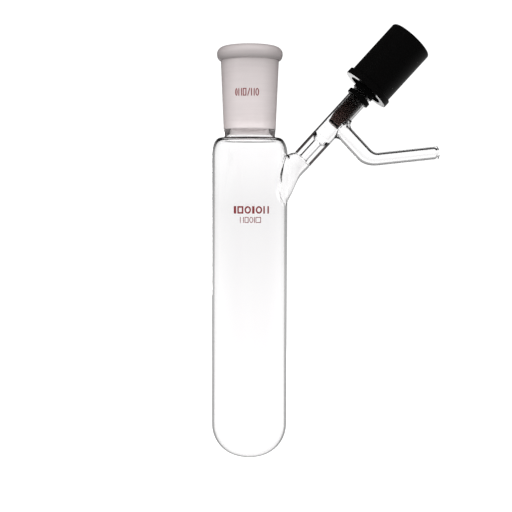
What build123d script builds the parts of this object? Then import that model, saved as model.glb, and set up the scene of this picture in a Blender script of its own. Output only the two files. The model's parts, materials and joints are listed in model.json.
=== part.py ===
from build123d import *
from math import asin, cos, degrees, radians, sin, sqrt
import os

# A glass storage tube for air-free work: a long round-bottomed vessel with a
# 24/40 standard taper socket at its mouth, and a side arm with a plug valve and a hose tube.
# Millimetres. +Z runs up the vessel, and the origin is the centre of the socket's mouth.
# The side arm points along +X, and the printed marks face -Y.

os.makedirs("parts", exist_ok=True)

# ---- ground socket, 24/40 standard taper ----
TAPER_TOP_R = 12.0
TAPER_END_R = 10.0
TAPER_TOP_Z = -0.5
TAPER_LENGTH = 40.0
MOUTH_R = 12.4
COLLAR_R = 16.2
COLLAR_Z = -3.5
COLLAR_END_Z = -6.8
SOCKET_TOP_R = 14.3
SOCKET_END_R = 12.85
SOCKET_END_Z = TAPER_TOP_Z - TAPER_LENGTH

# ---- vessel ----
VESSEL_R = 18.8
WALL = 1.4
BOTTOM_Z = -204.7
CROWN_R = 24.8
KNUCKLE_R = 16.0
NECK_R = 12.5
NECK_BORE_R = 11.2
NECK_FILLET = 1.0
SHOULDER_RUN = 4.3
SHOULDER_DROP = 8.5
SHOULDER_Z = -53.0

# ---- side valve: distances s are measured up its axis from the top of the seat tube ----
VALVE_TILT = 47.7
SEAT_X = 35.8
SEAT_Z = -44.3
TUBE_R = 5.1
SEAT_TUBE_S = -14.5
CAPILLARY_R = 1.5
SEAT_CONE = 3.4
ENTRY_R = 4.1
ENTRY_CONE = 1.6
BARREL_BORE_R = 4.3
BARREL_TOP_S = 29.4
BARREL_LIP = 0.35

# ---- hose tube ----
HOSE_ROOT_S = 9.8
HOSE_ROOT_R = 4.0
HOSE_R = 3.15
HOSE_ROOT_BORE_R = 2.8
HOSE_BORE_R = 2.0
HOSE_BEND = (59.5, -55.2)
HOSE_END = (93.7, -51.45)
HOSE_BEND_R = 9.0
HOSE_ROOT_FILLET = 3.0
HOSE_LIP = 0.45
BRANCH_LENGTH = 10.5

# ---- plug, bushing and knob ----
STEM_R = 4.21
TIP_S = 8.2
TIP_R = 2.9
TIP_EDGE_R = 3.4
TIP_EDGE_S = 9.4
TIP_CONE_S = 13.2
STEM_TOP_S = 25.5
SPINDLE_R = 2.75
SPINDLE_TOP_S = 58.0
FIT = 0.05
O_RING_R = 0.5
O_RING_S = (22.9, 24.5)
GROOVE_DEPTH = 0.98
GROOVE_PLAY = 0.02
TIP_RING_S = 8.95
TIP_GROOVE_R = 2.5
RING_S = (25.5, 27.9)
RING_R = 6.25
RING_EDGE = 0.4
BUSHING_R = 5.75
BUSHING_TOP_S = 41.0
BUSHING_CHAMFER = 0.6
SPIGOT_R = 4.28
SPIGOT_S = 26.6
KNOB_R = 11.65
KNOB_S = (31.8, 65.0)
FLANGE_R = 12.7
FLANGE_HEIGHT = 3.3
FLANGE_EDGE = 0.3
KNOB_EDGE = 1.2
KNOB_HOLLOW_R = 9.2
KNOB_HOLLOW_TOP_S = 56.0
HUB_R = 4.4
HUB_S = 51.5
CAP_R = 8.6
CAP_S = 63.0
CAP_CROWN = 0.5
SCREW_HEAD_R = 3.0
SCREW_HEAD_S = 59.5
SCREW_HEAD_HEIGHT = 2.4
SCREW_HEAD_EDGE = 0.8
SCREW_SLOT = (3.4, 0.7, 1.2)
SCREW_R = 1.2
SCREW_DEPTH = 8.0

# ---- printed enamel ----
ENAMEL = 0.06
MARK_GAP = 0.7
# Centre x, centre z and height of each row, then the widths of its blocks.
SOCKET_MARK = (-1.2, -23.1, 3.6)
SOCKET_MARK_WIDTHS = (1.0, 1.6, 1.6, 0.6, 1.6, 1.6)
EMBLEM_MARK = (1.0, -79.7, 3.6)
EMBLEM_MARK_WIDTHS = (1.9, 2.4, 2.4, 2.4, 2.4, 1.9)
CAPACITY_MARK = (0.6, -84.5, 2.8)
CAPACITY_MARK_WIDTHS = (1.5, 1.5, 1.5, 0.9, 1.9)

axial = Vector(cos(radians(VALVE_TILT)), 0, sin(radians(VALVE_TILT)))
radial = Vector(sin(radians(VALVE_TILT)), 0, -cos(radians(VALVE_TILT)))
seat = Vector(SEAT_X, 0, SEAT_Z)
valve_axis = Axis(seat, axial)
# Half sections: local x is the radius, local y the height or the distance s.
valve_section = Plane(origin=seat, x_dir=radial, z_dir=(0, -1, 0))
valve_plane = Plane(origin=seat, x_dir=radial, z_dir=axial)
vessel_section = Plane.XZ


def on_valve(s):
    """The point on the valve axis at distance s."""
    return seat + axial * s


# ---- ground socket: collar bead outside, ground taper inside ----
with BuildPart() as ground_joint:
    with BuildSketch(vessel_section):
        with BuildLine():
            Line((TAPER_END_R, SOCKET_END_Z), (SOCKET_END_R, SOCKET_END_Z))
            Line((SOCKET_END_R, SOCKET_END_Z), (SOCKET_TOP_R, COLLAR_END_Z))
            EllipticalCenterArc(
                (SOCKET_TOP_R, COLLAR_Z), COLLAR_R - SOCKET_TOP_R, COLLAR_Z - COLLAR_END_Z, -90, arc_size=90
            )
            EllipticalCenterArc((MOUTH_R, COLLAR_Z), COLLAR_R - MOUTH_R, -COLLAR_Z, arc_size=90)
            Polyline(
                (MOUTH_R, 0),
                (TAPER_TOP_R, TAPER_TOP_Z),
                (TAPER_END_R, SOCKET_END_Z),
            )
        make_face()
    revolve(axis=Axis.Z)
ground_joint.part.label = "ground_joint"
export_step(ground_joint.part, "parts/ground_joint.step")

# ---- side neck: a trumpet from the vessel wall to the seat tube ----
# Each station is an ellipse: centre x and z, tilt of its plane, half height and half width.
FLARE = (
    (on_valve(SEAT_TUBE_S).X, on_valve(SEAT_TUBE_S).Z, VALVE_TILT, TUBE_R, TUBE_R),
    (22.6, -58.1, 19.0, 6.3, 5.6),
    (19.6, -63.65, 4.0, 9.65, 7.0),
    (18.2, -65.75, 0.0, 12.75, 8.8),
    (16.0, -68.3, 0.0, 17.0, 11.2),
    (12.5, -70.0, 0.0, 21.0, 13.6),
)


def flare(wall):
    """The trumpet as a solid, drawn in by wall all round."""
    with BuildPart() as trumpet:
        for x, z, tilt, half_height, half_width in FLARE:
            across = Vector(sin(radians(tilt)), 0, -cos(radians(tilt)))
            along = Vector(cos(radians(tilt)), 0, sin(radians(tilt)))
            with BuildSketch(Plane(origin=(x, 0, z), x_dir=across, z_dir=along)):
                Ellipse(half_height - wall, half_width - wall)
        loft()
    return trumpet.part


flare_inside = flare(TUBE_R - ENTRY_R)
with BuildPart() as side_neck:
    add(flare(0))
    Cylinder(VESSEL_R, -2 * SHOULDER_Z, align=(Align.CENTER, Align.CENTER, Align.MAX), mode=Mode.SUBTRACT)
    add(flare_inside, mode=Mode.SUBTRACT)
side_neck.part.label = "side_neck"
export_step(side_neck.part, "parts/side_neck.step")

# ---- vessel: short neck, rounded shoulder, straight wall and dished bottom ----
knuckle_x = VESSEL_R - KNUCKLE_R
crown_z = BOTTOM_Z + CROWN_R
knuckle_z = crown_z - sqrt((CROWN_R - KNUCKLE_R) ** 2 - knuckle_x**2)
crown_angle = degrees(asin(knuckle_x / (CROWN_R - KNUCKLE_R)))

with BuildPart() as vessel:
    for inset, mode in ((0, Mode.ADD), (WALL, Mode.SUBTRACT)):
        neck_r = NECK_R if inset == 0 else NECK_BORE_R
        neck_fillet = NECK_FILLET if inset == 0 else NECK_FILLET + 2.0
        roof_z = SHOULDER_Z + SHOULDER_DROP - inset
        neck_z = roof_z + neck_fillet
        shoulder_x = VESSEL_R - SHOULDER_RUN
        with BuildSketch(vessel_section):
            with BuildLine():
                Line((0, BOTTOM_Z + inset), (0, SOCKET_END_Z))
                Line((0, SOCKET_END_Z), (neck_r, SOCKET_END_Z))
                Line((neck_r, SOCKET_END_Z), (neck_r, neck_z))
                CenterArc((neck_r + neck_fillet, neck_z), neck_fillet, 180, 90)
                Line((neck_r + neck_fillet, roof_z), (shoulder_x, roof_z))
                EllipticalCenterArc(
                    (shoulder_x, SHOULDER_Z), SHOULDER_RUN - inset, SHOULDER_DROP - inset, arc_size=90
                )
                Line((VESSEL_R - inset, SHOULDER_Z), (VESSEL_R - inset, knuckle_z))
                CenterArc((knuckle_x, knuckle_z), KNUCKLE_R - inset, 0, crown_angle - 90)
                CenterArc((0, crown_z), CROWN_R - inset, crown_angle - 90, -crown_angle)
            make_face()
        revolve(axis=Axis.Z, mode=mode)
    add(flare_inside, mode=Mode.SUBTRACT)
vessel.part.label = "vessel"
export_step(vessel.part, "parts/vessel.step")

# ---- seat tube: thick wall, narrow bore, conical seat at the top ----
with BuildPart() as seat_tube:
    with BuildSketch(valve_section):
        with BuildLine():
            Polyline(
                (ENTRY_R, SEAT_TUBE_S),
                (TUBE_R, SEAT_TUBE_S),
                (TUBE_R, 0),
                (BARREL_BORE_R, 0),
                (CAPILLARY_R, -SEAT_CONE),
                (CAPILLARY_R, SEAT_TUBE_S + ENTRY_CONE),
                close=True,
            )
        make_face()
    revolve(axis=valve_axis)
seat_tube.part.label = "seat_tube"
export_step(seat_tube.part, "parts/seat_tube.step")

# ---- hose tube: leaves the barrel square, bends level and ends open ----
hose_root = on_valve(HOSE_ROOT_S)
hose_corner = Vector(HOSE_BEND[0], 0, HOSE_BEND[1])
hose_end = Vector(HOSE_END[0], 0, HOSE_END[1])
down_leg = (hose_corner - hose_root).normalized()
out_leg = (hose_end - hose_corner).normalized()
turn = radians(down_leg.get_angle(out_leg))
bend_setback = HOSE_BEND_R * sin(turn / 2) / cos(turn / 2)
bend_start = hose_corner - down_leg * bend_setback
bend_end = hose_corner + out_leg * bend_setback
bend_side = (out_leg - down_leg).normalized()
bend_centre = hose_corner + bend_side * (HOSE_BEND_R / cos(turn / 2))
BEND_STATIONS = 5


def bend_stations(root_r, end_r):
    """Planes round the bend, each with the tube's radius there."""
    into_bend = Axis((0, 0, 0), (0, -1, 0))
    for i in range(BEND_STATIONS):
        share = i / (BEND_STATIONS - 1)
        swing = degrees(turn * share)
        centre = bend_centre + (bend_start - bend_centre).rotate(into_bend, swing)
        radius = root_r + (end_r - root_r) * share
        yield Plane(origin=centre, z_dir=down_leg.rotate(into_bend, swing)), radius


# ---- valve barrel: thin tube that the plug slides in, with a branch for the hose tube ----
hose_plane = Plane(origin=hose_root, z_dir=down_leg)

with BuildPart() as valve_barrel:
    with BuildSketch(valve_plane):
        Circle(TUBE_R)
    extrude(amount=BARREL_TOP_S)
    fillet(valve_barrel.edges().sort_by(valve_axis)[-1], BARREL_LIP)
    with BuildSketch(hose_plane):
        Circle(HOSE_ROOT_R)
    extrude(amount=BRANCH_LENGTH)
    root_edges = valve_barrel.edges().filter_by(
        lambda edge: edge.geom_type not in (GeomType.CIRCLE, GeomType.LINE)
    )
    fillet(root_edges, HOSE_ROOT_FILLET)
    with BuildSketch(valve_plane):
        Circle(BARREL_BORE_R)
    extrude(amount=BARREL_TOP_S, mode=Mode.SUBTRACT)
    with BuildSketch(hose_plane):
        Circle(HOSE_ROOT_BORE_R)
    extrude(amount=BRANCH_LENGTH, mode=Mode.SUBTRACT)
valve_barrel.part.label = "valve_barrel"
export_step(valve_barrel.part, "parts/valve_barrel.step")

# ---- hose tube: from the branch down to a bend, then level to its open end ----
with BuildPart() as hose_tube:
    for outside_r, end_r, mode in (
        (HOSE_ROOT_R, HOSE_R, Mode.ADD),
        (HOSE_ROOT_BORE_R, HOSE_BORE_R, Mode.SUBTRACT),
    ):
        with BuildSketch(hose_plane.offset(BRANCH_LENGTH)):
            Circle(outside_r)
        extrude(amount=(bend_start - hose_root).length - BRANCH_LENGTH, mode=mode)
        for plane, radius in bend_stations(outside_r, end_r):
            with BuildSketch(plane):
                Circle(radius)
        loft(mode=mode)
        with BuildSketch(Plane(origin=bend_end, z_dir=out_leg)):
            Circle(end_r)
        extrude(amount=(hose_end - bend_end).length, mode=mode)
        if mode == Mode.ADD:
            fillet(hose_tube.faces().sort_by(Axis.X)[-1].edges(), HOSE_LIP)
hose_tube.part.label = "hose_tube"
export_step(hose_tube.part, "parts/hose_tube.step")

# ---- retaining ring: clamps the barrel on the bushing's spigot ----
with BuildPart() as retaining_ring:
    with BuildSketch(valve_plane.offset(RING_S[0])):
        Circle(RING_R)
        Circle(TUBE_R, mode=Mode.SUBTRACT)
    extrude(amount=RING_S[1] - RING_S[0])
    outer_rims = retaining_ring.edges().filter_by(
        lambda edge: edge.geom_type == GeomType.CIRCLE and edge.radius > TUBE_R + FIT
    )
    fillet(outer_rims, RING_EDGE)
retaining_ring.part.label = "retaining_ring"
export_step(retaining_ring.part, "parts/retaining_ring.step")

# ---- bushing: spigot in the barrel's mouth, head above it, threaded bore for the spindle ----
with BuildPart() as bushing:
    with BuildSketch(valve_section):
        with BuildLine():
            Polyline(
                (SPINDLE_R + FIT, SPIGOT_S),
                (SPIGOT_R, SPIGOT_S),
                (SPIGOT_R, BARREL_TOP_S),
                (BUSHING_R, BARREL_TOP_S),
                (BUSHING_R, BUSHING_TOP_S - BUSHING_CHAMFER),
                (BUSHING_R - BUSHING_CHAMFER, BUSHING_TOP_S),
                (SPINDLE_R + FIT, BUSHING_TOP_S),
                close=True,
            )
        make_face()
    revolve(axis=valve_axis)
bushing.part.label = "bushing"
export_step(bushing.part, "parts/bushing.step")

# ---- plug: conical tip, piston with two O-ring grooves, spindle up into the knob ----
groove_r = STEM_R - GROOVE_DEPTH
groove_half = O_RING_R + GROOVE_PLAY
with BuildPart() as plug:
    with BuildSketch(valve_section):
        with BuildLine():
            Polyline(
                (0, TIP_S),
                (TIP_R, TIP_S),
                (TIP_EDGE_R, TIP_EDGE_S),
                (STEM_R, TIP_CONE_S),
                (STEM_R, STEM_TOP_S),
                (SPINDLE_R, STEM_TOP_S),
                (SPINDLE_R, SPINDLE_TOP_S),
                (0, SPINDLE_TOP_S),
                close=True,
            )
        make_face()
        for s, bottom_r in ((TIP_RING_S, TIP_GROOVE_R), *((s, groove_r) for s in O_RING_S)):
            with Locations((bottom_r, s)):
                Rectangle(
                    STEM_R, 2 * groove_half, align=(Align.MIN, Align.CENTER), mode=Mode.SUBTRACT
                )
        with Locations((0, SPINDLE_TOP_S)):
            Rectangle(SCREW_R, SCREW_DEPTH, align=(Align.MIN, Align.MAX), mode=Mode.SUBTRACT)
    revolve(axis=valve_axis)
plug.part.label = "plug"
export_step(plug.part, "parts/plug.step")


# ---- rings on the plug: the seal at the tip and two O-rings that wipe the barrel ----
def ring_on_plug(name, s, centre_r):
    """One round-section ring, centred on the valve axis at distance s."""
    with BuildPart() as ring:
        with BuildSketch(valve_section):
            with Locations((centre_r, s)):
                Circle(O_RING_R)
        revolve(axis=valve_axis)
    ring.part.label = name
    export_step(ring.part, f"parts/{name}.step")


ring_on_plug("tip_seal", TIP_RING_S, TIP_GROOVE_R + O_RING_R)
for name, s in zip(("lower_o_ring", "upper_o_ring"), O_RING_S):
    ring_on_plug(name, s, groove_r + O_RING_R + GROOVE_PLAY)

# ---- knob: flanged hollow shell with a hub for the spindle and a recess for the cap ----
with BuildPart() as knob:
    with BuildSketch(valve_section):
        with BuildLine():
            Polyline(
                (KNOB_HOLLOW_R, KNOB_S[0]),
                (FLANGE_R, KNOB_S[0]),
                (FLANGE_R, KNOB_S[0] + FLANGE_HEIGHT),
                (KNOB_R, KNOB_S[0] + FLANGE_HEIGHT),
                (KNOB_R, KNOB_S[1]),
                (CAP_R, KNOB_S[1]),
                (CAP_R, CAP_S),
                (SCREW_HEAD_R + FIT, CAP_S),
                (SCREW_HEAD_R + FIT, SCREW_HEAD_S),
                (SCREW_R, SCREW_HEAD_S),
                (SCREW_R, SPINDLE_TOP_S),
                (SPINDLE_R, SPINDLE_TOP_S),
                (SPINDLE_R, HUB_S),
                (HUB_R, HUB_S),
                (HUB_R, KNOB_HOLLOW_TOP_S),
                (KNOB_HOLLOW_R, KNOB_HOLLOW_TOP_S),
                close=True,
            )
        make_face()
    revolve(axis=valve_axis)
    rims = knob.edges().filter_by(GeomType.CIRCLE).group_by(lambda edge: edge.radius)
    fillet(rims[-1], FLANGE_EDGE)
    top_rim = knob.edges().filter_by(
        lambda edge: edge.geom_type == GeomType.CIRCLE and abs(edge.radius - KNOB_R) < FIT
    ).sort_by(valve_axis)[-1]
    fillet(top_rim, KNOB_EDGE)
knob.part.label = "knob"
export_step(knob.part, "parts/knob.step")

# ---- knob cap: shallow dome pressed into the knob's top ----
dome_r = (CAP_R**2 + CAP_CROWN**2) / (2 * CAP_CROWN)
dome_angle = degrees(asin(CAP_R / dome_r))
with BuildPart() as knob_cap:
    with BuildSketch(valve_section):
        with BuildLine():
            Polyline((0, KNOB_S[1] + CAP_CROWN), (0, CAP_S), (CAP_R, CAP_S), (CAP_R, KNOB_S[1]))
            CenterArc((0, KNOB_S[1] + CAP_CROWN - dome_r), dome_r, 90 - dome_angle, dome_angle)
        make_face()
    revolve(axis=valve_axis)
knob_cap.part.label = "knob_cap"
export_step(knob_cap.part, "parts/knob_cap.step")

# ---- knob screw: pan head under the cap, shank in the spindle's end, cross slot ----
with BuildPart() as knob_screw:
    with BuildSketch(valve_plane.offset(SPINDLE_TOP_S - SCREW_DEPTH + GROOVE_PLAY)):
        Circle(SCREW_R)
    extrude(amount=SCREW_HEAD_S - SPINDLE_TOP_S + SCREW_DEPTH - GROOVE_PLAY)
    with BuildSketch(valve_plane.offset(SCREW_HEAD_S)):
        Circle(SCREW_HEAD_R)
    extrude(amount=SCREW_HEAD_HEIGHT)
    top = knob_screw.faces().sort_by(valve_axis)[-1]
    fillet(top.edges(), SCREW_HEAD_EDGE)
    with BuildSketch(valve_plane.offset(SCREW_HEAD_S + SCREW_HEAD_HEIGHT)):
        Rectangle(SCREW_SLOT[0], SCREW_SLOT[1])
        Rectangle(SCREW_SLOT[1], SCREW_SLOT[0])
    extrude(amount=-SCREW_SLOT[2], mode=Mode.SUBTRACT)
knob_screw.part.label = "knob_screw"
export_step(knob_screw.part, "parts/knob_screw.step")


# ---- printed marks: rows of enamel blocks fired on the glass, facing -Y ----
def mark_row(widths, gap, centre_x):
    """Centre x and width of each block in a row that is centred on centre_x."""
    left = centre_x - (sum(widths) + gap * (len(widths) - 1)) / 2
    for width in widths:
        yield left + width / 2, width
        left += width + gap


with BuildPart() as socket_mark:
    with BuildSketch(vessel_section):
        with BuildLine():
            Polyline(
                (SOCKET_END_R, SOCKET_END_Z),
                (SOCKET_END_R + ENAMEL, SOCKET_END_Z),
                (SOCKET_TOP_R + ENAMEL, COLLAR_END_Z),
                (SOCKET_TOP_R, COLLAR_END_Z),
                close=True,
            )
        make_face()
    revolve(axis=Axis.Z)
    with BuildSketch(vessel_section):
        for x, width in mark_row(SOCKET_MARK_WIDTHS, MARK_GAP, SOCKET_MARK[0]):
            with Locations((x, SOCKET_MARK[1])):
                Rectangle(width, SOCKET_MARK[2])
    extrude(amount=VESSEL_R, mode=Mode.INTERSECT)
socket_mark.part.label = "socket_mark"
export_step(socket_mark.part, "parts/socket_mark.step")


def vessel_mark(name, row, widths):
    """One row of blocks on the vessel's wall."""
    centre_x, z, height = row
    with BuildPart() as mark:
        with BuildSketch(vessel_section):
            with Locations((VESSEL_R, z)):
                Rectangle(ENAMEL, 2 * height, align=(Align.MIN, Align.CENTER))
        revolve(axis=Axis.Z)
        with BuildSketch(vessel_section):
            for x, width in mark_row(widths, MARK_GAP, centre_x):
                with Locations((x, z)):
                    Rectangle(width, height)
        extrude(amount=VESSEL_R + 2 * ENAMEL, mode=Mode.INTERSECT)
    mark.part.label = name
    export_step(mark.part, f"parts/{name}.step")


vessel_mark("emblem_mark", EMBLEM_MARK, EMBLEM_MARK_WIDTHS)
vessel_mark("capacity_mark", CAPACITY_MARK, CAPACITY_MARK_WIDTHS)
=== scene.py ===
import json
from math import asin, cos, degrees, hypot, pi, radians, sin, sqrt, tan

import bmesh
import bpy
from mathutils import Matrix, Vector


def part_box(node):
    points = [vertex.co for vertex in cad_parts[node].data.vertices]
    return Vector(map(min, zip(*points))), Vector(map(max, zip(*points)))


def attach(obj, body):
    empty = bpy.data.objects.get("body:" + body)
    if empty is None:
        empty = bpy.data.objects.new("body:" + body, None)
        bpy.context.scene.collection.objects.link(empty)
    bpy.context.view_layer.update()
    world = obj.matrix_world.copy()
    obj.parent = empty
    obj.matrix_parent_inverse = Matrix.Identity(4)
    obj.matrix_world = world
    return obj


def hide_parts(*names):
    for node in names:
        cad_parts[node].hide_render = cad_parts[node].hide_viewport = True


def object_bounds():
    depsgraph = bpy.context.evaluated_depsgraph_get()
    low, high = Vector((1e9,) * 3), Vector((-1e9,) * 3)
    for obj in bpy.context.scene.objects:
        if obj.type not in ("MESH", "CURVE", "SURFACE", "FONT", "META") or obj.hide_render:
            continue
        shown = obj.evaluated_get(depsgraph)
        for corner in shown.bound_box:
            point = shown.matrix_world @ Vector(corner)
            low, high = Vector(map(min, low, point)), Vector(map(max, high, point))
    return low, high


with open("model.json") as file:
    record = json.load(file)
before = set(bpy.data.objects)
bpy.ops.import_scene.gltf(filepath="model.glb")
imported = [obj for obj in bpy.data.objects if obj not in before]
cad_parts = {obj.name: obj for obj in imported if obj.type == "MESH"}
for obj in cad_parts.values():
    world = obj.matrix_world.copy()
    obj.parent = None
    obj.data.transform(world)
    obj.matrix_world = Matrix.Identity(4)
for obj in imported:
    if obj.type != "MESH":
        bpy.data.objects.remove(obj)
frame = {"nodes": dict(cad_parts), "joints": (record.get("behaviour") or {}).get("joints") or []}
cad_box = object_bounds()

scene = bpy.context.scene

# Shapes are worked out in millimetres, in the frame's own axes, and scaled by this for their meshes.
MM = 0.001
ROUND = 160
TUBE_ROUND = 88

# ---- sizes that the frame gives ----
low, high = (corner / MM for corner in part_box("vessel"))
VESSEL_R = high.x
BOTTOM_Z = low.z
NECK_TOP_Z = high.z
low, high = (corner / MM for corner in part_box("ground_joint"))
COLLAR_R = high.x
knob_turn = next(joint for joint in frame["joints"] if joint["name"] == "knob_turn")
valve_seat = Vector(knob_turn["pos_m"]) / MM
valve_axis = Vector(knob_turn["axis"])

# ---- glass sizes, as the CAD solids have them ----
WALL = 1.4
CROWN_R = 24.8
KNUCKLE_R = 16.0
SHOULDER_RUN = 4.3
SHOULDER_DROP = 8.5
SHOULDER_Z = -53.0
NECK_R = 12.5
NECK_BORE_R = 11.2
NECK_FILLET = 1.0
NECK_BORE_FILLET = 3.0
SOCKET_TOP_R = 14.3
SOCKET_END_R = 12.85
MOUTH_R = 12.4
COLLAR_Z = -3.5
COLLAR_END_Z = -6.8
TAPER_TOP_R = 12.0
TAPER_END_R = 10.0
TAPER_TOP_Z = -0.5

TUBE_R = 5.1
SEAT_TUBE_S = -14.5
CAPILLARY_R = 1.5
SEAT_CONE = 3.4
ENTRY_R = 4.1
ENTRY_CONE = 1.6
BARREL_BORE_R = 4.3
BARREL_TOP_S = 29.4
BARREL_LIP = 0.35

HOSE_ROOT_S = 9.8
HOSE_ROOT_R = 4.0
HOSE_R = 3.15
HOSE_ROOT_BORE_R = 2.8
HOSE_BORE_R = 2.0
HOSE_CORNER = Vector((59.5, 0, -55.2))
HOSE_END = Vector((93.7, 0, -51.45))
HOSE_BEND_R = 9.0

# ---- sizes that only the visual pieces have ----
# The vessel's wall thins on its way down, from this far below the shoulder.
THINNING_DROP = 40
LOW_WALL = 1.05
FLOOR_WALL = 0.7
# The trumpet's wall at each of its sections, from inside the vessel to the seat tube.
TRUMPET_WALLS = (5.0, 4.0, 3.0, 2.0, 1.6, 1.2, 1.0, 1.0)
# The bore's change in radius near the hose tube's end, by the distance from the end of its straight run.
HOSE_BEAD = ((-1.6, 0), (-1.2, -0.08), (-0.8, -0.3), (-0.4, -0.5), (0, -0.5), (0.3, -0.3), (0.8, 0.2))
HOSE_OVERSHOOT = 0.6
HOSE_LIP = 0.5
# The flare at the hose tube's root: its shares of a full fillet along and across the valve tube,
# the most of that tube's radius that it spans, and how deep it is set in.
FLARE_ALONG = 0.9
FLARE_ACROSS = 0.25
FLARE_WIDEST = 0.95
FLARE_DEPTH = 0.12
# How far above the outer frosted zone the inner one ends.
INNER_GROUND_RISE = 1.5
ENAMEL = 0.055


# ---------------------------------------------------------------- mesh helpers
def arc(centre, radii, start, sweep, steps=10):
    """Points on an ellipse's arc in a half section; the angles are in degrees."""
    turns = [radians(start + sweep * i / steps) for i in range(steps + 1)]
    return [(centre[0] + radii[0] * cos(t), centre[1] + radii[1] * sin(t)) for t in turns]


def run(start, end, steps):
    """Points along a straight stretch of a half section, its end left out."""
    return [
        (start[0] + (end[0] - start[0]) * i / steps, start[1] + (end[1] - start[1]) * i / steps)
        for i in range(steps)
    ]


def add_solid(name, points, faces):
    """A new closed mesh object in the scene, its faces turned outwards; the points are in metres."""
    mesh = bpy.data.meshes.new(name)
    mesh.from_pydata(points, [], faces)
    work = bmesh.new()
    work.from_mesh(mesh)
    bmesh.ops.recalc_face_normals(work, faces=work.faces)
    work.to_mesh(mesh)
    work.free()
    solid = bpy.data.objects.new(name, mesh)
    scene.collection.objects.link(solid)
    return solid


def skin(name, first, rings, last):
    """A closed solid over rings of points, closed at each end on one point."""
    around = len(rings[0])
    points = [first] + [p for ring in rings for p in ring] + [last]
    end = len(points) - 1
    faces = []
    for i in range(around):
        j = (i + 1) % around
        faces.append((0, 1 + j, 1 + i))
        for k in range(len(rings) - 1):
            a = 1 + k * around
            b = a + around
            faces.append((a + i, a + j, b + j, b + i))
        a = 1 + (len(rings) - 1) * around
        faces.append((a + i, a + j, end))
    return add_solid(name, [p * MM for p in points], faces)


def lathe(name, profile, place=Matrix.Identity(4), around=ROUND, phase=0.0):
    """A solid of revolution about place's Z; the profile runs from axis to axis. The phase, a share
    of one step, keeps the spokes of solids that are combined off each other."""
    turns = [2 * pi * (i + phase) / around for i in range(around)]
    rings = [
        [place @ Vector((r * cos(t), r * sin(t), h)) for t in turns] for r, h in profile[1:-1]
    ]
    return skin(name, place @ Vector((0, 0, profile[0][1])), rings, place @ Vector((0, 0, profile[-1][1])))


def combine(base, steps):
    """base after each (operation, solid) in turn; the other solids are used up."""
    for operation, other in steps:
        cut = base.modifiers.new(other.name, "BOOLEAN")
        cut.operation = operation
        cut.object = other
        cut.solver = "EXACT"
    made = bpy.data.meshes.new_from_object(base.evaluated_get(bpy.context.evaluated_depsgraph_get()))
    base.modifiers.clear()
    base.data = made
    for _, other in steps:
        bpy.data.objects.remove(other)
    return base


def smooth(piece, crease, blends):
    """Smooth shading, with an edge kept sharp where it turns by more than crease degrees.
    Within the boxes of blends, each a low and a high corner, everything blends."""
    mesh = piece.data
    mesh.polygons.foreach_set("use_smooth", [True] * len(mesh.polygons))
    mesh.set_sharp_from_angle(angle=radians(crease))
    for edge in mesh.edges:
        middle = (mesh.vertices[edge.vertices[0]].co + mesh.vertices[edge.vertices[1]].co) / (2 * MM)
        for low, high in blends:
            if all(a < m < b for a, m, b in zip(low, middle, high)):
                edge.use_edge_sharp = False


# ---------------------------------------------------------------- the glass
valve_place = Matrix.Translation(valve_seat) @ valve_axis.to_track_quat("Z", "Y").to_matrix().to_4x4()


def on_valve(s):
    """The point on the valve axis at distance s above its seat."""
    return valve_seat + valve_axis * s


def vessel_wall(inset):
    """Half section of the vessel's wall at a depth of inset, from its neck down to the bottom's centre."""
    neck_r = NECK_R if inset == 0 else NECK_BORE_R
    fillet = NECK_FILLET if inset == 0 else NECK_BORE_FILLET
    roof_z = SHOULDER_Z + SHOULDER_DROP - inset
    shoulder_x = VESSEL_R - SHOULDER_RUN
    knuckle_x = VESSEL_R - KNUCKLE_R
    crown_z = BOTTOM_Z + CROWN_R
    knuckle_z = crown_z - sqrt((CROWN_R - KNUCKLE_R) ** 2 - knuckle_x**2)
    crown_angle = degrees(asin(knuckle_x / (CROWN_R - KNUCKLE_R)))
    side_r = VESSEL_R - inset
    low_inset = LOW_WALL / WALL * inset
    floor_inset = FLOOR_WALL / WALL * inset
    low_r = VESSEL_R - low_inset
    thinning_z = SHOULDER_Z - THINNING_DROP
    knuckle_radii = (KNUCKLE_R - low_inset, KNUCKLE_R - floor_inset)
    crown_radii = (CROWN_R - floor_inset, CROWN_R - floor_inset)
    return (
        arc((neck_r + fillet, roof_z + fillet), (fillet, fillet), 180, 90, 8)
        + arc((shoulder_x, SHOULDER_Z), (SHOULDER_RUN - inset, SHOULDER_DROP - inset), 90, -90, 16)
        + run((side_r, SHOULDER_Z - 1.2), (side_r, thinning_z), 24)
        + run((side_r, thinning_z), (low_r, knuckle_z), 24)
        + arc((knuckle_x, knuckle_z), knuckle_radii, 0, crown_angle - 90, 12)
        + arc((0, crown_z), crown_radii, crown_angle - 90, -crown_angle, 10)[1:-1]
        + [(0, BOTTOM_Z + floor_inset)]
    )


def vessel_solid():
    """Ground socket and vessel in one closed shell: up the outside, over the lip and down the inside."""
    outside = (
        vessel_wall(0)[::-1]
        + run((SOCKET_END_R, NECK_TOP_Z), (SOCKET_TOP_R, COLLAR_END_Z), 14)
        + arc((SOCKET_TOP_R, COLLAR_Z), (COLLAR_R - SOCKET_TOP_R, COLLAR_Z - COLLAR_END_Z), -90, 90, 8)
        + arc((MOUTH_R, COLLAR_Z), (COLLAR_R - MOUTH_R, -COLLAR_Z), 0, 90, 10)[1:]
    )
    inside = (
        run((TAPER_TOP_R, TAPER_TOP_Z), (TAPER_END_R, NECK_TOP_Z), 16)
        + [(TAPER_END_R, NECK_TOP_Z)]
        + vessel_wall(WALL)
    )
    return lathe("glass_body", outside + inside)


def mid_wall():
    """A solid up to the middle of the vessel's wall, which trims what is fused on."""
    return lathe("mid_wall", [(0, SHOULDER_Z)] + vessel_wall(WALL / 2)[9:])


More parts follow.
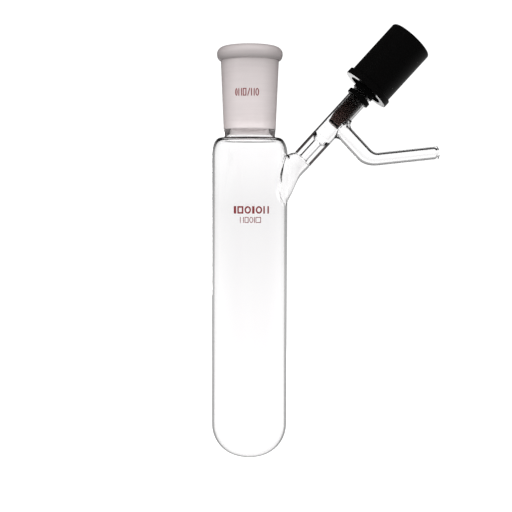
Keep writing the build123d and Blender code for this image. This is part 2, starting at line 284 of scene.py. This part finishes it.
def flare(name, walls, end_s):
    """The trumpet from the vessel's side to the seat tube, as a closed solid, set in at each of
    its sections by one of walls. A section is a centre's x and z, its lean, and its two radii."""
    root = on_valve(SEAT_TUBE_S)
    tilt = degrees(asin(valve_axis.z))
    sections = [
        (9.0, -72.0, 0.0, 25.0, 16.0),
        (12.5, -69.6, 0.0, 21.0, 13.6),
        (16.0, -67.4, 0.0, 17.0, 11.2),
        (18.2, -64.9, 0.0, 13.0, 8.8),
        (19.7, -62.8, 4.0, 10.2, 7.0),
        (22.6, -58.0, 19.0, 6.4, 5.6),
        (root.x, root.z, tilt, TUBE_R, TUBE_R),
        (on_valve(end_s).x, on_valve(end_s).z, tilt, TUBE_R, TUBE_R),
    ]
    stations = [
        (x, z, lean, high_r - wall, wide_r - wall)
        for (x, z, lean, high_r, wide_r), wall in zip(sections, walls)
    ]
    rings = []
    for k in range(1, len(stations) - 2):
        for i in range(8):
            t = i / 8
            x, z, lean, high_r, wide_r = (
                catmull(a, b, c, d, t)
                for a, b, c, d in zip(*stations[k - 1 : k + 3])
            )
            rings.append(ellipse(x, z, lean, high_r, wide_r))
    end_r = TUBE_R - walls[-1] - 0.2
    for s in (SEAT_TUBE_S, end_s):
        rings.append(ellipse(on_valve(s).x, on_valve(s).z, tilt, end_r, end_r))
    first = Vector((stations[1][0], 0, stations[1][1]))
    return skin(name, first, rings, on_valve(end_s))


def catmull(a, b, c, d, t):
    """The value at t between b and c on a smooth curve that also passes a and d."""
    return 0.5 * (2 * b + (c - a) * t + (2 * a - 5 * b + 4 * c - d) * t * t + (3 * b - a - 3 * c + d) * t**3)


def ellipse(x, z, lean, high_r, wide_r):
    """A ring of points round (x, 0, z), square to a direction that leans up by lean degrees."""
    across = Vector((sin(radians(lean)), 0, -cos(radians(lean))))
    turns = [2 * pi * i / TUBE_ROUND for i in range(TUBE_ROUND)]
    return [Vector((x, 0, z)) + across * (high_r * cos(t)) + Vector((0, wide_r * sin(t), 0)) for t in turns]


def valve_tube():
    """Seat tube and barrel, solid right through."""
    lip = 0.6
    profile = (
        [(0, SEAT_TUBE_S)]
        + arc((TUBE_R - lip, SEAT_TUBE_S + lip), (lip, lip), -90, 90, 6)
        + run((TUBE_R, SEAT_TUBE_S + 1.5), (TUBE_R, BARREL_TOP_S - BARREL_LIP), 40)
        + arc((TUBE_R - BARREL_LIP, BARREL_TOP_S - BARREL_LIP), (BARREL_LIP, BARREL_LIP), 0, 90, 4)
        + [(0, BARREL_TOP_S)]
    )
    return lathe("valve_tube", profile, valve_place, TUBE_ROUND, 0.25)


def valve_bore():
    """What is open inside them: funnel, capillary, seat cone and the barrel's bore."""
    funnel_r = ENTRY_R - 0.5
    profile = (
        [(0, SEAT_TUBE_S - 0.9), (funnel_r, SEAT_TUBE_S - 0.9)]
        + arc((funnel_r, SEAT_TUBE_S + ENTRY_CONE), (funnel_r - CAPILLARY_R, ENTRY_CONE), -90, -90, 8)
        + run((CAPILLARY_R, SEAT_TUBE_S + 2.4), (CAPILLARY_R, -SEAT_CONE - 1.2), 10)
        + arc((CAPILLARY_R + 1.6, -SEAT_CONE - 0.6), (1.6, 1.4), 180, -50, 5)
        + run((BARREL_BORE_R - 0.35, -0.45), (BARREL_BORE_R, 0.3), 2)
        + run((BARREL_BORE_R, 0.3), (BARREL_BORE_R, BARREL_TOP_S + 1), 40)
        + [(BARREL_BORE_R, BARREL_TOP_S + 1), (0, BARREL_TOP_S + 1)]
    )
    return lathe("valve_bore", profile, valve_place, TUBE_ROUND, 0.5)


hose_root = on_valve(HOSE_ROOT_S)
down_leg = (HOSE_CORNER - hose_root).normalized()
out_leg = (HOSE_END - HOSE_CORNER).normalized()
hose_turn = down_leg.angle(out_leg)
bend_setback = HOSE_BEND_R * tan(hose_turn / 2)
leg_length = (HOSE_CORNER - hose_root).length - bend_setback
out_length = (HOSE_END - HOSE_CORNER).length - bend_setback


def hose_station(along):
    """Centre and direction of the hose tube's axis at a distance from its root."""
    if along <= leg_length:
        return hose_root + down_leg * along, down_leg
    bend_length = HOSE_BEND_R * hose_turn
    swing = min(along - leg_length, bend_length) / HOSE_BEND_R
    turned = Matrix.Rotation(-swing, 3, "Y") @ down_leg
    side = Matrix.Rotation(-pi / 2, 3, "Y") @ down_leg
    centre = hose_root + down_leg * leg_length + side * HOSE_BEND_R
    point = centre - (Matrix.Rotation(-swing, 3, "Y") @ side) * HOSE_BEND_R
    return point + turned * max(0, along - leg_length - bend_length), turned


def hose_ring(along, radius):
    """A ring of points round the hose tube's axis."""
    centre, heading = hose_station(along)
    across = heading.cross(Vector((0, 1, 0)))
    turns = [2 * pi * i / TUBE_ROUND for i in range(TUBE_ROUND)]
    return [centre + across * (radius * cos(t)) + Vector((0, radius * sin(t), 0)) for t in turns]


def saddle_ring(tube_r, depth, high_r, wide_r):
    """A ring that lies on the valve tube's curved side, depth above it."""
    across = down_leg.cross(Vector((0, 1, 0)))
    ring = []
    for i in range(TUBE_ROUND):
        t = 2 * pi * i / TUBE_ROUND
        y = wide_r * sin(t)
        level = sqrt(tube_r**2 - y * y) + depth
        ring.append(hose_root + down_leg * level + across * (high_r * cos(t)) + Vector((0, y, 0)))
    return ring


def hose_solid(name, root_r, end_r, tube_r, flare_r, lip, overshoot=0):
    """The hose tube's outside, with a rounded end, or its bore, which passes the end by overshoot.
    Both have a flared root on the valve tube and one bend."""
    bend_length = HOSE_BEND_R * hose_turn
    straight_from = leg_length + bend_length
    straight_to = straight_from + out_length - lip
    rings = []
    for i in range(9):
        rise = 1 - i / 8
        gain = flare_r * (1 - sqrt(1 - rise * rise))
        high_r = root_r + FLARE_ALONG * gain
        wide_r = min(root_r + FLARE_ACROSS * gain, FLARE_WIDEST * tube_r)
        rings.append(saddle_ring(tube_r, flare_r * i / 8 - FLARE_DEPTH, high_r, wide_r))
    start = tube_r + flare_r
    rings += [hose_ring(start + (leg_length - start) * i / 12, root_r) for i in range(1, 13)]
    for i in range(1, 25):
        share = i / 24
        narrowing = share * share * (3 - 2 * share)
        rings.append(hose_ring(leg_length + bend_length * share, root_r + (end_r - root_r) * narrowing))
    straight = straight_to - straight_from
    rings += [hose_ring(straight_from + straight * i / 14, end_r) for i in range(1, 15)]
    if overshoot:
        rings[-1:] = [hose_ring(straight_to + ahead, end_r + gain) for ahead, gain in HOSE_BEAD]
    else:
        for i in range(1, 7):
            t = pi / 2 * i / 6
            rings.append(hose_ring(straight_to + lip * sin(t), end_r - lip * (1 - cos(t))))
    return skin(name, hose_station(2.0)[0], rings, hose_station(straight_to + lip + overshoot)[0])


def hose_bore():
    """What is open inside the hose tube."""
    return hose_solid(
        "hose_bore", HOSE_ROOT_BORE_R, HOSE_BORE_R, BARREL_BORE_R, 1.4, HOSE_LIP, HOSE_OVERSHOOT
    )


def glass_body():
    """Socket, vessel, trumpet, valve tube and hose tube, fused in one piece of glass."""
    outside = (0,) * len(TRUMPET_WALLS)
    trumpet = combine(flare("trumpet", outside, SEAT_TUBE_S + 2), [("DIFFERENCE", mid_wall())])
    piece = combine(
        vessel_solid(),
        [
            ("UNION", trumpet),
            ("UNION", valve_tube()),
            ("UNION", hose_solid("hose", HOSE_ROOT_R, HOSE_R, TUBE_R, 3.0, HOSE_LIP)),
            ("DIFFERENCE", flare("trumpet_bore", TRUMPET_WALLS, SEAT_TUBE_S + 0.5)),
            ("DIFFERENCE", valve_bore()),
            ("DIFFERENCE", hose_bore()),
        ],
    )
    trumpet_box = (12, -13, -84), (on_valve(SEAT_TUBE_S).x - 1, 13, SHOULDER_Z + 2)
    root = hose_root + down_leg * TUBE_R
    hose_box = root - Vector((5, 8, 5)), root + Vector((7, 8, 5))
    smooth(piece, 40, (trumpet_box, hose_box))
    return piece


# ---------------------------------------------------------------- printed marks
def ring(x, z, wide, high, corners, stroke):
    """Outer and inner outline of a ring with so many corners, wide by high, centred on (x, z)."""
    turns = [2 * pi * (i + 0.5) / corners for i in range(corners)]
    grow = 1 / cos(pi / corners)
    half_wide = wide / 2
    half_high = high / 2
    outer = [(x + half_wide * grow * cos(t), z + half_high * grow * sin(t)) for t in turns]
    half_wide -= stroke
    half_high -= stroke
    inner = [(x + half_wide * grow * cos(t), z + half_high * grow * sin(t)) for t in turns]
    return outer, inner


def bar(x, z, lean, high, stroke):
    """Outline of an upright stroke centred on (x, z), whose top leans sideways by lean."""
    half = stroke / 2
    outer = [(x - half - lean / 2, z - high / 2), (x + half - lean / 2, z - high / 2)]
    outer += [(x + half + lean / 2, z + high / 2), (x - half + lean / 2, z + high / 2)]
    return outer, []


def printed(name, outlines, radius_at):
    """A mark of enamel on the glass: each outline is raised a little from the surface, facing -Y."""
    points = []
    faces = []
    for outer, inner in outlines:
        first = len(points)
        count = len(outer)
        for lift in (0.004, ENAMEL):
            for x, z in outer + inner:
                points.append((x * MM, -sqrt((radius_at(z) + lift) ** 2 - x * x) * MM, z * MM))
        level = len(outer) + len(inner)
        for i in range(count):
            j = (i + 1) % count
            faces.append((first + i, first + j, first + level + j, first + level + i))
            if inner:
                a, b = first + count + i, first + count + j
                faces.append((b, a, level + a, level + b))
                faces.append((first + i, a, b, first + j))
                faces.append((first + level + j, level + b, level + a, first + level + i))
        if not inner:
            faces.append(tuple(first + i for i in reversed(range(count))))
            faces.append(tuple(first + level + i for i in range(count)))
    return add_solid(name, points, faces)


def mark_row(node, signs, stroke, radius_at):
    """Prints a row of simple signs over the box of a CAD mark. A sign is a shape and its share of
    the row."""
    low, high = (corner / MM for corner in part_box(node))
    x = low.x
    z = (low.z + high.z) / 2
    tall = high.z - low.z
    gap = 0.4 * stroke + 0.25
    unit = (high.x - low.x - gap * (len(signs) - 1)) / sum(share for _, share in signs)
    outlines = []
    for shape, share in signs:
        wide = share * unit
        middle = x + wide / 2
        if shape == "bar":
            outlines.append(bar(middle, z, 0, tall, wide))
        elif shape == "slash":
            outlines.append(bar(middle, z, wide - stroke, tall, stroke))
        elif shape == "pair":
            outlines.append(bar(x + stroke / 2, z, 0, tall, stroke))
            outlines.append(bar(x + wide - stroke / 2, z, 0, tall, stroke))
        elif shape == "square":
            outlines.append(ring(middle, z, wide, tall, 4, stroke))
        else:
            outlines.append(ring(middle, z, wide, tall, 20, stroke))
        x += wide + gap
    piece = printed(node + "_print", outlines, radius_at)
    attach(piece, "glass")
    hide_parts(node)
    return piece


# ---------------------------------------------------------------- materials
GLASS_IOR = 1.474
# The plug's colours from its tip upwards: how far up the faded stretch, and the shade; the near black at the
# top is painted shadow near the bushing.
PLUG_SHADES = (
    (0.0, (0.085, 0.062, 0.057, 1)),
    (0.12, (0.018, 0.009, 0.0075, 1)),
    (0.6, (0.005, 0.0018, 0.0012, 1)),
    (1.0, (0.002, 0.001, 0.001, 1)),
)
PLUG_TIP_S = 8.2
PLUG_FADE = 18


def material(name):
    """A new node material and its Principled shader."""
    made = bpy.data.materials.new(name)
    made.use_nodes = True
    return made, made.node_tree.nodes["Principled BSDF"]


def noise(tree, scale, detail=2.0, stretch=(1, 1, 1)):
    """A noise node in the piece's own coordinates, stretched along its axes."""
    place = tree.nodes.new("ShaderNodeTexCoord")
    mapping = tree.nodes.new("ShaderNodeMapping")
    mapping.inputs["Scale"].default_value = stretch
    texture = tree.nodes.new("ShaderNodeTexNoise")
    texture.inputs["Scale"].default_value = scale
    texture.inputs["Detail"].default_value = detail
    tree.links.new(place.outputs["Object"], mapping.inputs["Vector"])
    tree.links.new(mapping.outputs["Vector"], texture.inputs["Vector"])
    return texture


def tint(tree, source, low_colour, high_colour, target, low_at=0.3, high_at=0.7):
    """Colours target between two shades by source."""
    ramp = tree.nodes.new("ShaderNodeValToRGB")
    ramp.color_ramp.elements[0].position = low_at
    ramp.color_ramp.elements[1].position = high_at
    ramp.color_ramp.elements[0].color = (*low_colour, 1)
    ramp.color_ramp.elements[1].color = (*high_colour, 1)
    tree.links.new(source, ramp.inputs["Fac"])
    tree.links.new(ramp.outputs["Color"], target)


def grey_ramp(tree, source, stops):
    """Greys over source, which runs from -1 to 1; each stop is a place and its level."""
    spread = tree.nodes.new("ShaderNodeMapRange")
    spread.inputs["From Min"].default_value = -1
    tree.links.new(source, spread.inputs["Value"])
    ramp = tree.nodes.new("ShaderNodeValToRGB")
    elements = ramp.color_ramp.elements
    while len(elements) < len(stops):
        elements.new(0.5)
    for element, (place, level) in zip(elements, stops):
        element.position = (place + 1) / 2
        element.color = (level, level, level, 1)
    tree.links.new(spread.outputs["Result"], ramp.inputs["Fac"])
    return ramp.outputs["Color"]


def feed(tree, value, target):
    """Gives target a value: another node's socket, a number, or a grey level for a colour."""
    if isinstance(value, bpy.types.NodeSocket):
        tree.links.new(value, target)
    elif target.type == "RGBA":
        target.default_value = (value, value, value, 1)
    else:
        target.default_value = value


def mixed(tree, blend, factor, first, second):
    """Two colours mixed; each may be a socket or a grey level."""
    node = tree.nodes.new("ShaderNodeMix")
    node.data_type = "RGBA"
    node.blend_type = blend
    for i, value in ((0, factor), (6, first), (7, second)):
        feed(tree, value, node.inputs[i])
    return node.outputs[2]


def worked_out(tree, operation, first, second):
    """The result of one step of arithmetic; each input may be a socket or a number."""
    node = tree.nodes.new("ShaderNodeMath")
    node.operation = operation
    feed(tree, first, node.inputs[0])
    feed(tree, second, node.inputs[1])
    return node.outputs["Value"]


def bump(tree, source, strength, distance, shader):
    """Raises the surface by source."""
    node = tree.nodes.new("ShaderNodeBump")
    node.inputs["Strength"].default_value = strength
    node.inputs["Distance"].default_value = distance
    tree.links.new(source, node.inputs["Height"])
    tree.links.new(node.outputs["Normal"], shader.inputs["Normal"])


def let_light_through(tree, shader):
    """Lets light fall straight through the glass on what is behind it."""
    path = tree.nodes.new("ShaderNodeLightPath")
    gap = tree.nodes.new("ShaderNodeBsdfTransparent")
    either = tree.nodes.new("ShaderNodeMixShader")
    falling = worked_out(tree, "MAXIMUM", path.outputs["Is Shadow Ray"], path.outputs["Is Diffuse Ray"])
    tree.links.new(falling, either.inputs[0])
    tree.links.new(shader.outputs["BSDF"], either.inputs[1])
    tree.links.new(gap.outputs["BSDF"], either.inputs[2])
    tree.links.new(either.outputs["Shader"], tree.nodes["Material Output"].inputs["Surface"])


def polished_glass(name):
    """A new material of smooth borosilicate glass, and its shader."""
    made, shader = material(name)
    shader.inputs["Transmission Weight"].default_value = 1
    shader.inputs["IOR"].default_value = GLASS_IOR
    shader.inputs["Roughness"].default_value = 0.0
    return made, shader


def clear_glass():
    """Borosilicate glass, with the faint lines of drawn tubing."""
    made, shader = polished_glass("clear_glass")
    tree = made.node_tree
    streaks = noise(tree, 90, 2, (1, 1, 0.06))
    tint(tree, streaks.outputs["Fac"], (0.985, 0.978, 0.982), (1, 1, 1), shader.inputs["Base Color"])
    let_light_through(tree, shader)
    return made


def thick_glass():
    """The same glass in a thick rod, whose sides look dark: here that is painted shade, a dark tint by
    facing.
    """
    made, shader = polished_glass("thick_glass")
    tree = made.node_tree
    side = tree.nodes.new("ShaderNodeLayerWeight")
    side.inputs["Blend"].default_value = 0.5
    # Painted shade for the rod's sides.
    dark = (0.003, 0.002, 0.002)
    tint(tree, side.outputs["Facing"], (1, 1, 1), dark, shader.inputs["Base Color"], 0.27, 0.36)
    let_light_through(tree, shader)
    return made


def ground_glass():
    """Glass ground with coarse grit: a warm light grey, with painted shade that darkens it at its
    sides, under the collar and at its end."""
    made, shader = material("ground_glass")
    tree = made.node_tree
    shader.inputs["Transmission Weight"].default_value = 0.35
    shader.inputs["IOR"].default_value = GLASS_IOR
    shader.inputs["Roughness"].default_value = 0.6
    shader.inputs["Specular IOR Level"].default_value = 0.2
    place = tree.nodes.new("ShaderNodeTexCoord")
    parts = tree.nodes.new("ShaderNodeSeparateXYZ")
    tree.links.new(place.outputs["Object"], parts.inputs["Vector"])
    level = tree.nodes.new("ShaderNodeMapRange")
    level.inputs["From Min"].default_value = 2 * NECK_TOP_Z * MM
    level.inputs["From Max"].default_value = 0
    level.inputs["To Min"].default_value = -1
    tree.links.new(parts.outputs["Z"], level.inputs["Value"])
    # Painted shade by height: dark at the zone's lower end, a dark band at the collar's underside, lighter
    # again over the collar towards the rim.
    stops = (
        (NECK_TOP_Z - 0.2, 0.3),
        (NECK_TOP_Z + 0.5, 0.97),
        (-26.0, 1.0),
        (COLLAR_END_Z - 5.0, 0.88),
        (COLLAR_END_Z - 0.3, 0.78),
        (COLLAR_END_Z + 0.5, 0.5),
        (COLLAR_Z, 0.74),
        (-1.2, 0.96),
    )
    painted_height_shade = grey_ramp(tree, level.outputs["Result"], [(1 - z / NECK_TOP_Z, value) for z, value in stops])
    # Painted shade: the grey darkens from the middle towards the sides by facing.
    side = tree.nodes.new("ShaderNodeLayerWeight")
    side.inputs["Blend"].default_value = 0.35
    body = mixed(tree, "MULTIPLY", 1, 1.0, painted_height_shade)
    middle = (0.66, 0.605, 0.605)
    edge = (0.31, 0.27, 0.27)
    tint(tree, side.outputs["Facing"], middle, edge, body.node.inputs[6], 0.08, 0.75)
    strokes = noise(tree, 900, 2, (0.06, 0.06, 1))
    stroke_shade = grey_ramp(tree, strokes.outputs["Fac"], ((0.3, 0.95), (0.7, 1.0)))
    tree.links.new(mixed(tree, "MULTIPLY", 1, body, stroke_shade), shader.inputs["Base Color"])
    grain = noise(tree, 2600, 3)
    bump(tree, grain.outputs["Fac"], 0.2, 0.00008, shader)
    return made


def enamel():
    """Red-brown enamel fired on the glass."""
    made, shader = material("enamel")
    tree = made.node_tree
    shader.inputs["Roughness"].default_value = 0.5
    shader.inputs["Specular IOR Level"].default_value = 0.2
    patches = noise(tree, 1400, 3)
    tint(tree, patches.outputs["Fac"], (0.13, 0.015, 0.018), (0.2, 0.028, 0.032), shader.inputs["Base Color"])
    return made


def plastic(name, dark, light, roughness, specular, grain_scale, depth):
    """Moulded black plastic with a fine spark-eroded grain."""
    made, shader = material(name)
    tree = made.node_tree
    shader.inputs["Roughness"].default_value = roughness
    shader.inputs["Specular IOR Level"].default_value = specular
    grain = noise(tree, grain_scale, 4)
    tint(tree, grain.outputs["Fac"], dark, light, shader.inputs["Base Color"])
    bump(tree, grain.outputs["Fac"], 0.15, depth, shader)
    return made


def along_valve(tree):
    """How far up the valve's axis a point lies, in metres from the frame's origin."""
    place = tree.nodes.new("ShaderNodeTexCoord")
    along = tree.nodes.new("ShaderNodeVectorMath")
    along.operation = "DOT_PRODUCT"
    along.inputs[1].default_value = valve_axis
    tree.links.new(place.outputs["Object"], along.inputs[0])
    return along.outputs["Value"]


def filled_ptfe():
    """Dark brown filled PTFE, waxy, with the fine rings of turning; lighter towards the tip, with painted
    shadow darkening it towards the top.
    """
    made, shader = material("filled_ptfe")
    tree = made.node_tree
    shader.inputs["Roughness"].default_value = 0.5
    shader.inputs["Specular IOR Level"].default_value = 0.08
    along = along_valve(tree)
    rings = tree.nodes.new("ShaderNodeTexWave")
    rings.wave_type = "BANDS"
    rings.bands_direction = "X"
    rings.inputs["Scale"].default_value = 260
    rings.inputs["Distortion"].default_value = 0.4
    spread = tree.nodes.new("ShaderNodeCombineXYZ")
    tree.links.new(along, spread.inputs["X"])
    tree.links.new(spread.outputs["Vector"], rings.inputs["Vector"])
    fade = tree.nodes.new("ShaderNodeMapRange")
    tip = valve_seat.dot(valve_axis) + PLUG_TIP_S
    fade.inputs["From Min"].default_value = tip * MM
    fade.inputs["From Max"].default_value = (tip + PLUG_FADE) * MM
    tree.links.new(along, fade.inputs["Value"])
    shades = tree.nodes.new("ShaderNodeValToRGB")
    elements = shades.color_ramp.elements
    for place, _ in PLUG_SHADES[1:-1]:
        elements.new(place)
    for element, (_, colour) in zip(elements, PLUG_SHADES):
        element.color = colour
    tree.links.new(fade.outputs["Result"], shades.inputs["Fac"])
    tree.links.new(shades.outputs["Color"], shader.inputs["Base Color"])
    bump(tree, rings.outputs["Fac"], 0.15, 0.00002, shader)
    return made


def steel():
    """Turned stainless steel."""
    made, shader = material("steel")
    tree = made.node_tree
    shader.inputs["Metallic"].default_value = 1
    shader.inputs["Roughness"].default_value = 0.3
    scratches = noise(tree, 1500, 4, (1, 1, 4))
    tint(tree, scratches.outputs["Fac"], (0.42, 0.42, 0.43), (0.6, 0.6, 0.61), shader.inputs["Base Color"])
    return made


def finish_node(node, made):
    """Gives a CAD node its material."""
    mesh_object = frame["nodes"][node]
    for slot in mesh_object.material_slots:
        slot.material = made
    if not mesh_object.material_slots:
        mesh_object.data.materials.append(made)


# ---------------------------------------------------------------- the object
glass = glass_body()
glass.data.materials.clear()
for made in (clear_glass(), ground_glass(), thick_glass()):
    glass.data.materials.append(made)
for face in glass.data.polygons:
    centre = face.center / MM
    around = hypot(centre.x, centre.y)
    up_valve = (centre - valve_seat).dot(valve_axis)
    off_valve = (centre - on_valve(up_valve)).length
    ground_end = NECK_TOP_Z + (INNER_GROUND_RISE if around < TAPER_TOP_R else 0)
    if centre.z > ground_end and around < COLLAR_R + 0.1:
        face.material_index = 1
    # The seat tube's outside over the capillary gets the glass with painted dark sides.
    elif SEAT_TUBE_S + 0.4 < up_valve < -SEAT_CONE / 2 and abs(off_valve - TUBE_R) < 0.05:
        face.material_index = 2
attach(glass, "glass")
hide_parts("ground_joint", "vessel", "side_neck", "seat_tube", "valve_barrel", "hose_tube")

black = plastic("black_knob", (0.0012, 0.0012, 0.0012), (0.0022, 0.002, 0.002), 0.3, 0.08, 1800, 0.00003)
dull_black = plastic(
    "black_bushing", (0.001, 0.001, 0.001), (0.002, 0.0018, 0.0018), 0.5, 0.08, 1400, 0.00003
)
rubber = plastic("seal_rubber", (0.002, 0.002, 0.002), (0.005, 0.0045, 0.004), 0.6, 0.15, 2400, 0.00003)
brown = filled_ptfe()
for node, made in (
    ("knob", black),
    ("knob_cap", black),
    ("bushing", dull_black),
    ("retaining_ring", dull_black),
    ("plug", brown),
    ("tip_seal", rubber),
    ("lower_o_ring", rubber),
    ("upper_o_ring", rubber),
    ("knob_screw", steel()),
):
    finish_node(node, made)


def socket_radius(z):
    """Radius of the socket's outside at height z."""
    return SOCKET_END_R + (SOCKET_TOP_R - SOCKET_END_R) * (z - NECK_TOP_Z) / (COLLAR_END_Z - NECK_TOP_Z)


def vessel_radius(z):
    """Radius of the vessel's outside, the same at every height z that a mark is printed at."""
    return VESSEL_R


SOCKET_SIGNS = (("ring", 0.8), ("pair", 1.2), ("square", 1.2), ("slash", 1), ("pair", 1.2), ("ring", 1.2))
EMBLEM_SIGNS = (("bar", 0.6), ("square", 1.5), ("ring", 1.6), ("bar", 0.6), ("ring", 1.6), ("pair", 1.4))
CAPACITY_SIGNS = (("pair", 1), ("square", 1), ("ring", 1), ("bar", 0.2), ("square", 1.4))
red = enamel()
for node, signs, stroke, radius_at in (
    ("socket_mark", SOCKET_SIGNS, 0.42, socket_radius),
    ("emblem_mark", EMBLEM_SIGNS, 0.75, vessel_radius),
    ("capacity_mark", CAPACITY_SIGNS, 0.34, vessel_radius),
):
    mark_row(node, signs, stroke, radius_at).data.materials.append(red)

# ---------------------------------------------------------------- studio
FLOOR_DROP = 0.045
FLOOR_SIZE = 6.0
BACKDROP = 1.12
# Levels of light by where a direction points, from -1 to 1: up for the first two, away for the last.
THROUGH_GLASS = ((-0.25, 1.18), (-0.12, 1.08), (-0.02, 0.97), (0.07, 1.18), (0.2, 1.15))
ROOM_HEIGHT = ((-0.4, 0.32), (-0.1, 0.5), (0.04, 0.3), (0.3, 0.02))
ROOM_DEPTH = ((-0.6, 0.05), (-0.1, 1.0), (0.2, 1.7), (0.7, 1.5), (0.84, 1.0))
# A path sees the room after any reflection, if it has passed through fewer surfaces than this.
ANY_REFLECTION = 0.5
ROOM_PASSES = 3.5


def studio_world():
    """A white backdrop all round, with its levels eased where it is seen through glass. Paths
    reflected near the camera's side of the glass see a room instead, dim behind the camera and
    above, and that draws the glass's edges."""
    world = bpy.data.worlds.new("studio")
    scene.world = world
    world.use_nodes = True
    tree = world.node_tree
    direction = tree.nodes.new("ShaderNodeTexCoord")
    parts = tree.nodes.new("ShaderNodeSeparateXYZ")
    tree.links.new(direction.outputs["Generated"], parts.inputs["Vector"])
    through = grey_ramp(tree, parts.outputs["Z"], THROUGH_GLASS)
    height = grey_ramp(tree, parts.outputs["Z"], ROOM_HEIGHT)
    depth = grey_ramp(tree, parts.outputs["Y"], ROOM_DEPTH)
    room = mixed(tree, "MULTIPLY", 1, height, depth)
    path = tree.nodes.new("ShaderNodeLightPath")
    reflected = worked_out(tree, "GREATER_THAN", path.outputs["Glossy Depth"], ANY_REFLECTION)
    shallow = worked_out(tree, "LESS_THAN", path.outputs["Transmission Depth"], ROOM_PASSES)
    dim = worked_out(tree, "MULTIPLY", reflected, shallow)
    seen = mixed(tree, "MIX", path.outputs["Is Camera Ray"], through, BACKDROP)
    light = mixed(tree, "MIX", dim, seen, room)
    tree.links.new(light, tree.nodes["Background"].inputs["Color"])


def floor():
    """A plain pale floor below the object, seen directly and lit, but not through the glass."""
    mesh = bpy.data.meshes.new("floor")
    half = FLOOR_SIZE / 2
    z = cad_box[0].z - FLOOR_DROP
    corners = [(-half, -half, z), (half, -half, z), (half, half, z), (-half, half, z)]
    mesh.from_pydata(corners, [], [(0, 1, 2, 3)])
    piece = bpy.data.objects.new("floor", mesh)
    scene.collection.objects.link(piece)
    made, shader = material("floor")
    shader.inputs["Roughness"].default_value = 0.9
    shader.inputs["Specular IOR Level"].default_value = 0.0
    mottle = noise(made.node_tree, 3, 2)
    shades = (0.86, 0.86, 0.86), (0.88, 0.88, 0.88)
    tint(made.node_tree, mottle.outputs["Fac"], *shades, shader.inputs["Base Color"])
    shader.inputs["Emission Color"].default_value = (1, 1, 1, 1)
    shader.inputs["Emission Strength"].default_value = 0.25
    mesh.materials.append(made)
    piece.visible_glossy = False
    piece.visible_transmission = False


def lamp(name, place, aim, size, power, reflected=False):
    """A large soft area light that points at aim, and whether glossy surfaces show it."""
    data = bpy.data.lights.new(name, "AREA")
    data.shape = "RECTANGLE"
    data.size, data.size_y = size
    data.energy = power
    made = bpy.data.objects.new(name, data)
    scene.collection.objects.link(made)
    made.visible_camera = False
    made.visible_glossy = reflected
    made.visible_transmission = False
    made.location = place
    made.rotation_euler = (Vector(aim) - Vector(place)).to_track_quat("-Z", "Y").to_euler()


studio_world()
floor()
lamp("key", (-0.5, -0.6, 0.7), (0, 0, -0.1), (0.6, 0.6), 6)
lamp("fill", (0.8, -0.2, 0.5), (0, 0, -0.1), (0.5, 0.8), 3)
lamp("card", (-0.09, 0.60, -0.09), (0.06, 0, 0), (0.24, 0.2), 0.55, True)

CAMERA_ROLL = -0.15
camera = bpy.data.objects.new("camera", bpy.data.cameras.new("camera"))
scene.collection.objects.link(camera)
camera.location = (0.0032, -0.480, -0.06876)
camera.rotation_euler = (radians(85.9), radians(CAMERA_ROLL), 0)
camera.data.lens = 67.64
camera.data.sensor_width = 36
scene.camera = camera
scene.view_settings.view_transform = "Standard"
